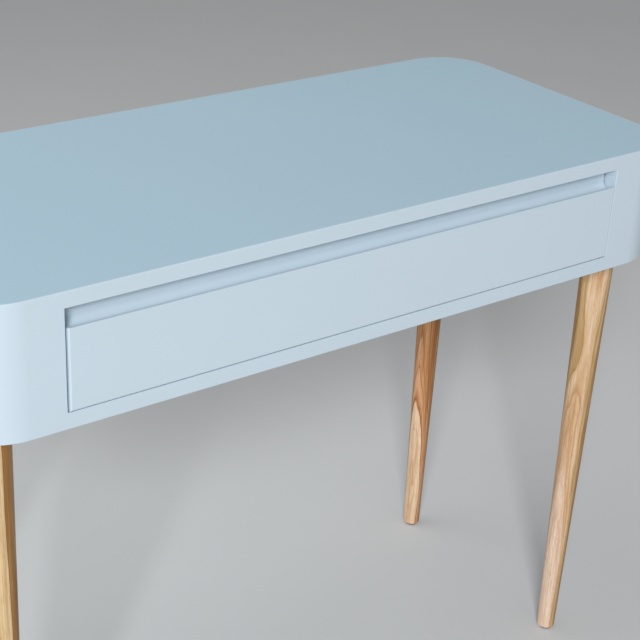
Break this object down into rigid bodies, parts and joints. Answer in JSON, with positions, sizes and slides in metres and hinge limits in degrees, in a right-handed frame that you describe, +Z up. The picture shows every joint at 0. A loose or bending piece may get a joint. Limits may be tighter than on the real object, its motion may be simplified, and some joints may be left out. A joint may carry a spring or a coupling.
{
  "type": "writing desk",
  "caption": "Slim writing desk: a white round-cornered box on four turned, tapered wooden legs, with one wide drawer on ball-bearing slides pulled by a cove behind its top edge.",
  "frame": {"origin": "on the floor, below the middle of the desk with its drawer shut", "axes": "+X to the right along the desk's length, +Y to the back, +Z up; the drawer opens towards -Y"},
  "size_m": [0.945, 0.427, 0.75],
  "materials": {
    "desktop": "matte pale blue-grey laminate",
    "lacquer": "satin white lacquer on fibreboard",
    "inner_board": "fibreboard sealed with white primer",
    "drawer_board": "foil-faced board",
    "drawer_sheet": "white-faced hardboard",
    "beech": "raw beech",
    "leg_wood": "oiled solid ash, straight and cathedral grain",
    "plate": "black powder coat",
    "zinc": "zinc plated",
    "screws": "yellow zinc plated",
    "glide": "moulded",
    "bumper": "matte",
    "slide_steel": "cold rolled, zinc plated",
    "cage": "cold rolled strip",
    "balls": "polished bearing steel"
  },
  "bodies": {
    "desk": {"desktop_sheet": "desktop", "top_panel": "lacquer", "bottom_panel": "lacquer", "end_shell_left": "lacquer", "end_shell_right": "lacquer", "back_panel": "lacquer", "partition_left": "inner_board", "partition_right": "inner_board", "corner_block_front_left": "beech", "corner_block_front_right": "beech", "corner_block_rear_left": "beech", "corner_block_rear_right": "beech", "carcass_dowels": "beech", "leg_front_left": "leg_wood", "leg_front_right": "leg_wood", "leg_rear_left": "leg_wood", "leg_rear_right": "leg_wood", "leg_plate_front_left": "plate", "leg_plate_front_right": "plate", "leg_plate_rear_left": "plate", "leg_plate_rear_right": "plate", "hanger_bolts": "zinc", "leg_plate_screws": "screws", "glide_front_left": "glide", "glide_front_right": "glide", "glide_rear_left": "glide", "glide_rear_right": "glide", "slide_outer_left": "slide_steel", "slide_outer_right": "slide_steel", "slide_outer_screws": "screws", "slide_bumper_left": "bumper", "slide_bumper_right": "bumper"},
    "drawer": {"slide_inner_left": "slide_steel", "slide_inner_right": "slide_steel", "slide_inner_screws": "screws", "drawer_front": "lacquer", "drawer_box_front": "drawer_board", "drawer_side_left": "drawer_board", "drawer_side_right": "drawer_board", "drawer_back": "drawer_board", "drawer_bottom": "drawer_sheet", "drawer_batten": "beech", "drawer_front_screws": "screws", "drawer_dowels": "beech"},
    "outer_cage_left": {"outer_cage_left": "cage", "outer_balls_left": "balls"},
    "slide_middle_left": {"slide_middle_left": "slide_steel"},
    "inner_cage_left": {"inner_cage_left": "cage", "inner_balls_left": "balls"},
    "outer_cage_right": {"outer_cage_right": "cage", "outer_balls_right": "balls"},
    "slide_middle_right": {"slide_middle_right": "slide_steel"},
    "inner_cage_right": {"inner_cage_right": "cage", "inner_balls_right": "balls"}
  },
  "joints": [
    {"name": "drawer_slide", "type": "slide", "parent": "desk", "child": "drawer", "axis": [0, -1, 0], "range_m": [0, 0.34]},
    {"name": "middle_slide_left", "type": "slide", "parent": "desk", "child": "slide_middle_left", "axis": [0, -1, 0], "range_m": [0, 0.17]},
    {"name": "outer_cage_roll_left", "type": "slide", "parent": "desk", "child": "outer_cage_left", "axis": [0, -1, 0], "range_m": [0, 0.085]},
    {"name": "inner_cage_roll_left", "type": "slide", "parent": "slide_middle_left", "child": "inner_cage_left", "axis": [0, -1, 0], "range_m": [0, 0.085]},
    {"name": "middle_slide_right", "type": "slide", "parent": "desk", "child": "slide_middle_right", "axis": [0, -1, 0], "range_m": [0, 0.17]},
    {"name": "outer_cage_roll_right", "type": "slide", "parent": "desk", "child": "outer_cage_right", "axis": [0, -1, 0], "range_m": [0, 0.085]},
    {"name": "inner_cage_roll_right", "type": "slide", "parent": "slide_middle_right", "child": "inner_cage_right", "axis": [0, -1, 0], "range_m": [0, 0.085]}
  ],
  "couplings": [
    {"joint": "middle_slide_left", "follows": "drawer_slide", "ratio": 0.5},
    {"joint": "outer_cage_roll_left", "follows": "drawer_slide", "ratio": 0.25},
    {"joint": "inner_cage_roll_left", "follows": "drawer_slide", "ratio": 0.25},
    {"joint": "middle_slide_right", "follows": "drawer_slide", "ratio": 0.5},
    {"joint": "outer_cage_roll_right", "follows": "drawer_slide", "ratio": 0.25},
    {"joint": "inner_cage_roll_right", "follows": "drawer_slide", "ratio": 0.25}
  ]
}
